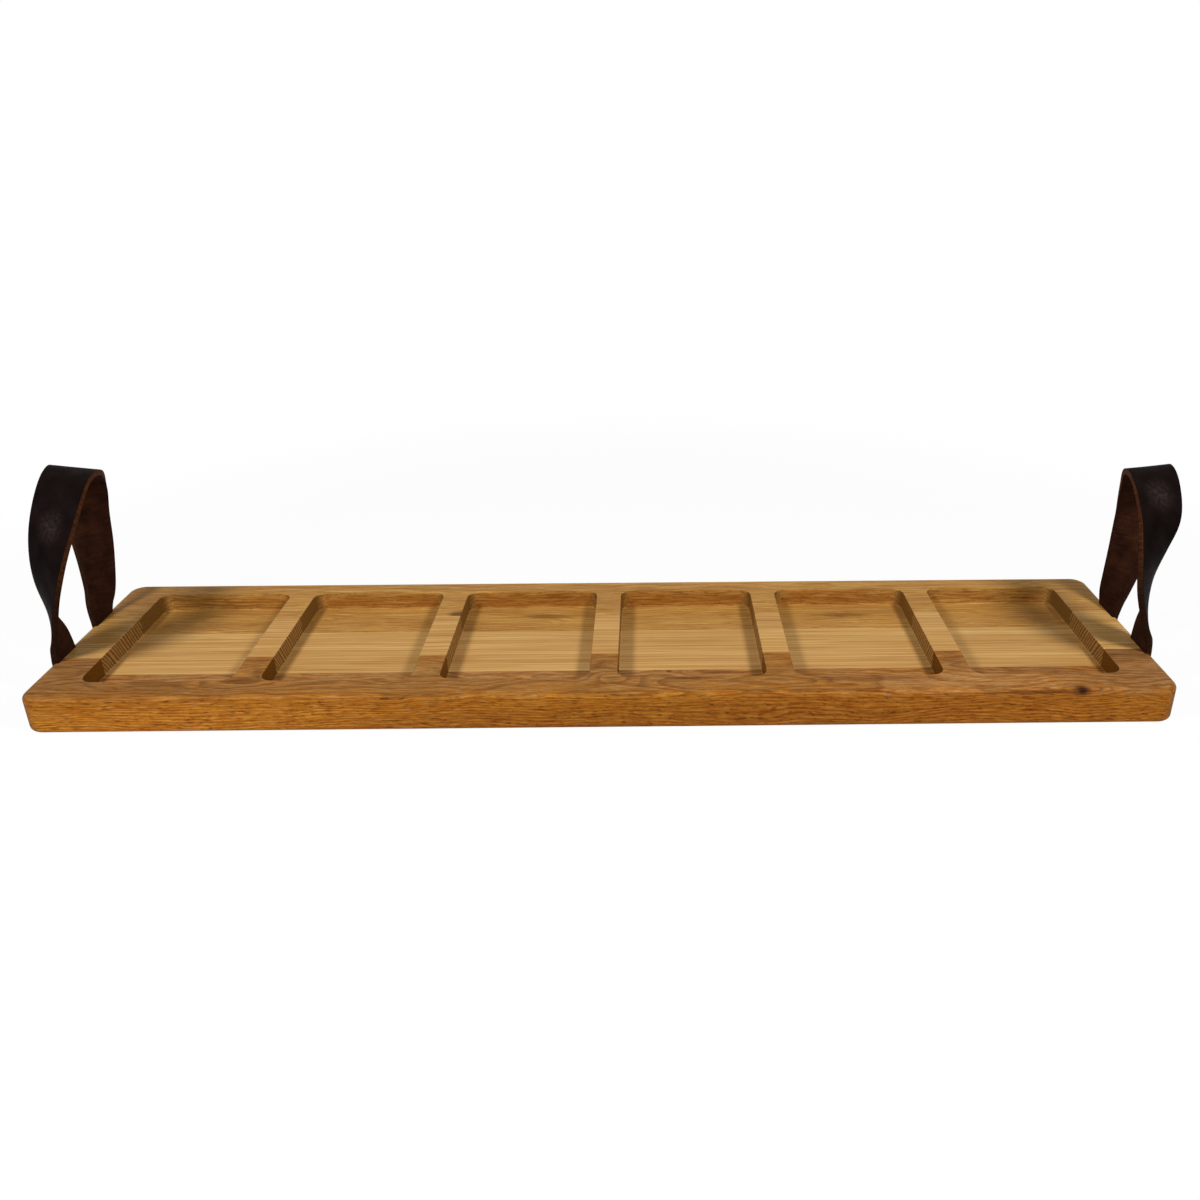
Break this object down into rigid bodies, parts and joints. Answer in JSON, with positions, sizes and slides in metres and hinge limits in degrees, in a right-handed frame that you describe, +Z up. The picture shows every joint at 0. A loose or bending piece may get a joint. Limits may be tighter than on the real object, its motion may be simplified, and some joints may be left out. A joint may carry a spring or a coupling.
{
  "type": "divided serving tray",
  "caption": "Long beech serving board with a row of routed rectangular pockets and an upright leather strap loop handle let into each end.",
  "frame": {"origin": "on the underside, below the middle of the board", "axes": "+X along the board's length, -Y to the front, +Z up"},
  "size_m": [0.8172, 0.19, 0.1588],
  "materials": {
    "front_beech": "oiled",
    "middle_beech": "oiled",
    "back_beech": "oiled",
    "strap_leather": "smooth grain side, raw cut edges",
    "screw_steel": "satin"
  },
  "bodies": {
    "board": {"front_stave": "front_beech", "middle_stave": "middle_beech", "back_stave": "back_beech", "left_front_tab": "strap_leather", "left_rear_tab": "strap_leather", "right_front_tab": "strap_leather", "right_rear_tab": "strap_leather", "left_front_screw_a": "screw_steel", "left_front_screw_b": "screw_steel", "left_rear_screw_a": "screw_steel", "left_rear_screw_b": "screw_steel", "right_front_screw_a": "screw_steel", "right_front_screw_b": "screw_steel", "right_rear_screw_a": "screw_steel", "right_rear_screw_b": "screw_steel", "left_front_washer_a": "screw_steel", "left_front_washer_b": "screw_steel", "left_rear_washer_a": "screw_steel", "left_rear_washer_b": "screw_steel", "right_front_washer_a": "screw_steel", "right_front_washer_b": "screw_steel", "right_rear_washer_a": "screw_steel", "right_rear_washer_b": "screw_steel"},
    "left_handle": {"left_strap_loop": "strap_leather"},
    "right_handle": {"right_strap_loop": "strap_leather"}
  },
  "joints": [
    {"name": "left_handle_bend", "type": "hinge", "parent": "board", "child": "left_handle", "pos_m": [-0.3976, 0, 0.0304], "axis": [0, 1, 0], "range_deg": [-85, 60], "stiffness_Nm_per_rad": 0.15},
    {"name": "right_handle_bend", "type": "hinge", "parent": "board", "child": "right_handle", "pos_m": [0.3976, 0, 0.0304], "axis": [0, -1, 0], "range_deg": [-85, 60], "stiffness_Nm_per_rad": 0.15}
  ]
}
